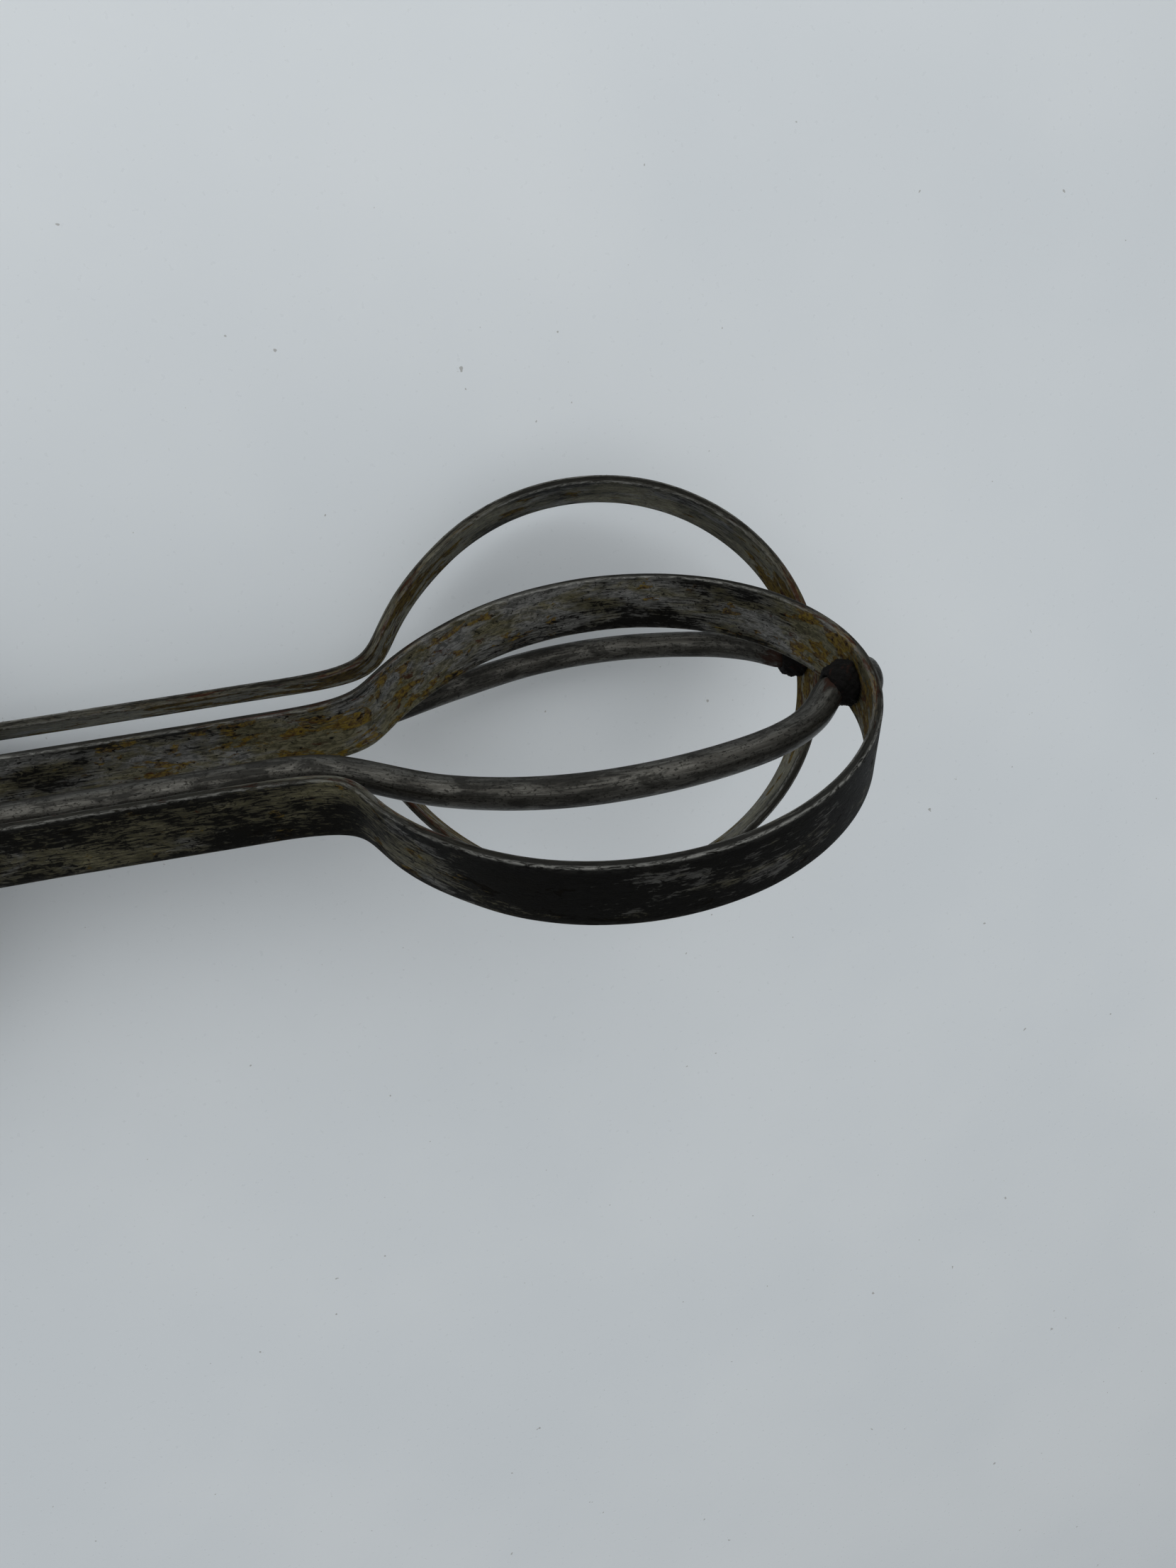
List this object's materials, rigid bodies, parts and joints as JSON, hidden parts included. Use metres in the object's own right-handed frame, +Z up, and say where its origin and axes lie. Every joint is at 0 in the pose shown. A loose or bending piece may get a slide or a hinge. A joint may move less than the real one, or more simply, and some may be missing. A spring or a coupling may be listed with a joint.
{
  "type": "rotary egg beater",
  "caption": "Old hand-cranked rotary beater: open iron loop handle, forked frame, double-faced gear wheel and crank driving counter-turning strap dashers on bowed rods.",
  "frame": {"origin": "centre of the bounding box in plan, at the table the beater lies on", "axes": "+X from the handle towards the dasher tips, +Y to the left of that, +Z up; the shafts rise 6.0 degrees from +X because the beater lies on its handle end and its lower cross-head"},
  "size_m": [0.324, 0.082, 0.0833],
  "materials": {
    "tinned_steel": "worn tinned strip, dark oxide and rust stains",
    "cast_iron": "aged casting, dark patina",
    "steel_wire": "smooth drawn wire, darkened",
    "dark_wood": "turned, dark stain, worn"
  },
  "bodies": {
    "frame": {"frame_casting": "cast_iron", "spindle_rod_upper": "steel_wire", "spindle_rod_lower": "steel_wire", "rod_pin_upper": "steel_wire", "rod_pin_lower": "steel_wire", "tip_collar_upper": "cast_iron", "tip_collar_lower": "cast_iron", "pinion_washer_upper": "tinned_steel", "pinion_washer_lower": "tinned_steel", "axle_washer_upper": "tinned_steel", "axle_washer_lower": "tinned_steel"},
    "wheel": {"drive_wheel": "cast_iron", "axle_pin": "steel_wire", "crank_arm": "cast_iron", "crank_washer": "tinned_steel", "crank_nut": "steel_wire", "knob_pin": "steel_wire", "knob_washer": "tinned_steel"},
    "knob": {"crank_knob": "dark_wood"},
    "dasher_upper": {"pinion_upper": "cast_iron", "dasher_strap_upper": "tinned_steel", "strap_rivet_upper_a": "steel_wire", "strap_rivet_upper_b": "steel_wire"},
    "dasher_lower": {"pinion_lower": "cast_iron", "dasher_strap_lower": "tinned_steel", "strap_rivet_lower_a": "steel_wire", "strap_rivet_lower_b": "steel_wire"}
  },
  "joints": [
    {"name": "wheel_spin", "type": "hinge", "parent": "frame", "child": "wheel", "pos_m": [-0.03439, 0, 0.0199], "axis": [-0.104, 0, 0.9946], "continuous": true},
    {"name": "knob_spin", "type": "hinge", "parent": "wheel", "child": "knob", "pos_m": [-0.07283, 0, 0.04132], "axis": [-0.104, 0, 0.9946], "continuous": true},
    {"name": "dasher_upper_spin", "type": "hinge", "parent": "frame", "child": "dasher_upper", "pos_m": [-0.00633, 0, 0.0352], "axis": [0.9946, 0, 0.104], "continuous": true},
    {"name": "dasher_lower_spin", "type": "hinge", "parent": "frame", "child": "dasher_lower", "pos_m": [-0.00377, 0, 0.01073], "axis": [0.9946, 0, 0.104], "continuous": true}
  ],
  "couplings": [
    {"joint": "dasher_upper_spin", "follows": "wheel_spin", "ratio": 6},
    {"joint": "dasher_lower_spin", "follows": "wheel_spin", "ratio": -6}
  ]
}
